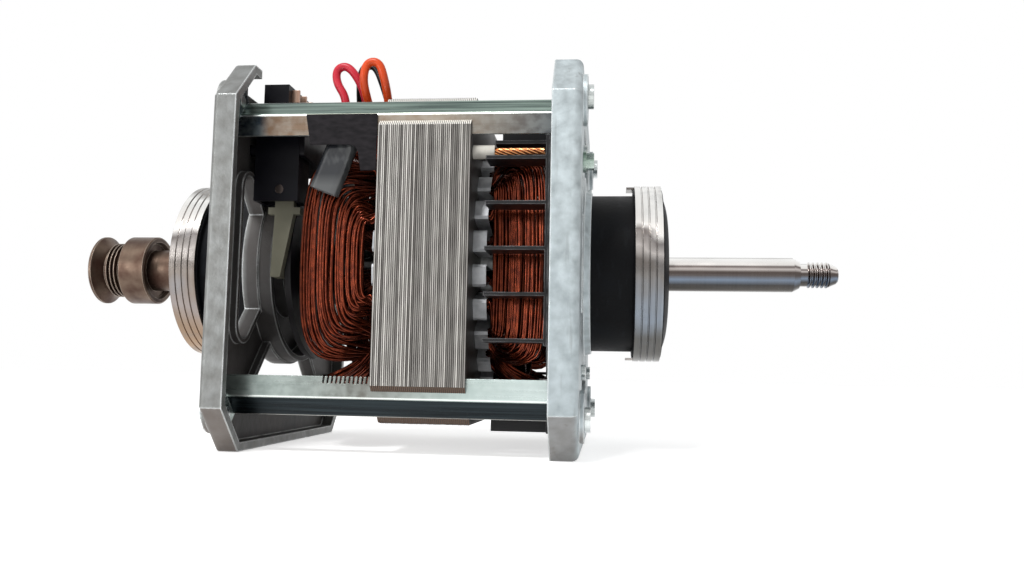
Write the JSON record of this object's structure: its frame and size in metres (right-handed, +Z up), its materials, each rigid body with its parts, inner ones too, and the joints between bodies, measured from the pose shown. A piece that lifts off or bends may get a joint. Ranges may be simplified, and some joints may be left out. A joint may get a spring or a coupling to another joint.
{
  "type": "dryer drive motor",
  "caption": "Open-frame single-phase dryer motor with ring mounts, a poly-V pulley, a threaded blower shaft and a centrifugal start switch.",
  "frame": {"origin": "on the shaft's axis, in the middle of the blower-end ring band", "axes": "+X along the shaft towards the threaded blower end, +Z up, +Y away from the side with the leads and lever"},
  "size_m": [0.2851, 0.1314, 0.1409],
  "materials": {
    "cast_aluminium": "matte die casting with bright edges",
    "zinc_steel": "bright zinc plate",
    "ground_screw": "green passivated",
    "lamination_steel": "stacked punched sheets",
    "cast_rotor": "pressure cast",
    "shaft_steel": "ground",
    "band_steel": "rolled, brushed",
    "cushion_rubber": "moulded",
    "pulley_steel": "oxidised, oiled",
    "bronze": "sintered",
    "plate_steel": "pressed",
    "felt": "oiled wool felt",
    "winding_enamel": "enamelled wire",
    "start_enamel": "enamelled wire",
    "liner_film": "folded film",
    "guard_plastic": "moulded",
    "sheet_board": "thin board",
    "sleeve_film": "shrunk film",
    "protector_can": "drawn can",
    "lead_red": "lead insulation",
    "lead_orange": "lead insulation",
    "lead_black": "lead insulation",
    "crossover_sleeve": "braided sleeve",
    "crossover_wires": "twisted strands",
    "switch_plastic": "moulded",
    "switch_cover": "moulded",
    "terminal_brass": "tinned",
    "spring_steel": "spring wire and strip",
    "lever_plastic": "ivory, moulded",
    "collar_plastic": "moulded"
  },
  "bodies": {
    "frame": {"pulley_end_bracket": "cast_aluminium", "blower_end_bracket": "cast_aluminium", "rail_top_rear": "zinc_steel", "rail_top_front": "zinc_steel", "rail_bottom_front": "zinc_steel", "rail_bottom_rear": "zinc_steel", "blower_end_screws": "zinc_steel", "pulley_end_screws": "zinc_steel", "guard_screws": "zinc_steel", "switch_screws": "zinc_steel", "ground_screw": "ground_screw", "stator_core": "lamination_steel", "lever_pin": "shaft_steel", "blower_end_ring_band": "band_steel", "pulley_end_ring_band": "band_steel", "blower_end_cushion": "cushion_rubber", "pulley_end_cushion": "cushion_rubber", "blower_end_bearing": "bronze", "pulley_end_bearing": "bronze", "blower_end_bearing_retainer": "plate_steel", "pulley_end_bearing_retainer": "plate_steel", "blower_end_oil_felt": "felt", "pulley_end_oil_felt": "felt", "main_coil_front": "winding_enamel", "main_coil_bottom": "winding_enamel", "main_coil_rear": "winding_enamel", "main_coil_top": "winding_enamel", "start_coil_bottom_front": "start_enamel", "start_coil_bottom_rear": "start_enamel", "start_coil_top_rear": "start_enamel", "start_coil_top_front": "start_enamel", "slot_liners": "liner_film", "winding_guard": "guard_plastic", "guard_combs": "guard_plastic", "insulation_sheet": "sheet_board", "protector_sleeve": "sleeve_film", "thermal_protector": "protector_can", "lead_red": "lead_red", "lead_orange": "lead_orange", "lead_black": "lead_black", "crossover_sleeve": "crossover_sleeve", "crossover_wires": "crossover_wires", "switch_housing": "switch_plastic", "switch_cover": "switch_cover", "switch_terminals": "terminal_brass", "switch_contacts": "terminal_brass", "switch_contact_spring": "spring_steel"},
    "rotor": {"shaft": "shaft_steel", "pulley": "pulley_steel", "rotor_core": "lamination_steel", "rotor_end_ring_pulley_end": "cast_rotor", "rotor_end_ring_blower_end": "cast_rotor", "thrust_washers": "shaft_steel", "governor_base": "plate_steel", "governor_pins": "shaft_steel", "governor_springs": "spring_steel"},
    "collar": {"governor_collar": "collar_plastic"},
    "weight_a": {"governor_weight_a": "plate_steel"},
    "weight_b": {"governor_weight_b": "plate_steel"},
    "lever": {"switch_lever": "lever_plastic"}
  },
  "joints": [
    {"name": "rotor_spin", "type": "hinge", "parent": "frame", "child": "rotor", "pos_m": [0, 0, 0], "axis": [1, 0, 0], "continuous": true},
    {"name": "collar_slide", "type": "slide", "parent": "rotor", "child": "collar", "axis": [1, 0, 0], "range_m": [0, 0.0035], "deforming": ["governor_springs"]},
    {"name": "weight_a_swing", "type": "hinge", "parent": "rotor", "child": "weight_a", "pos_m": [-0.11565, 0, 0.022], "axis": [0, -1, 0], "range_deg": [0, 17.6]},
    {"name": "weight_b_swing", "type": "hinge", "parent": "rotor", "child": "weight_b", "pos_m": [-0.11565, 0, -0.022], "axis": [0, 1, 0], "range_deg": [0, 17.6]},
    {"name": "lever_swing", "type": "hinge", "parent": "frame", "child": "lever", "pos_m": [-0.12805, -0.036, 0.024], "axis": [0, -1, 0], "range_deg": [0, 6.95]}
  ],
  "couplings": [
    {"joint": "weight_a_swing", "follows": "collar_slide", "rad_per_m": 87.5},
    {"joint": "weight_b_swing", "follows": "collar_slide", "rad_per_m": 87.5},
    {"joint": "lever_swing", "follows": "collar_slide", "rad_per_m": 34.5}
  ]
}
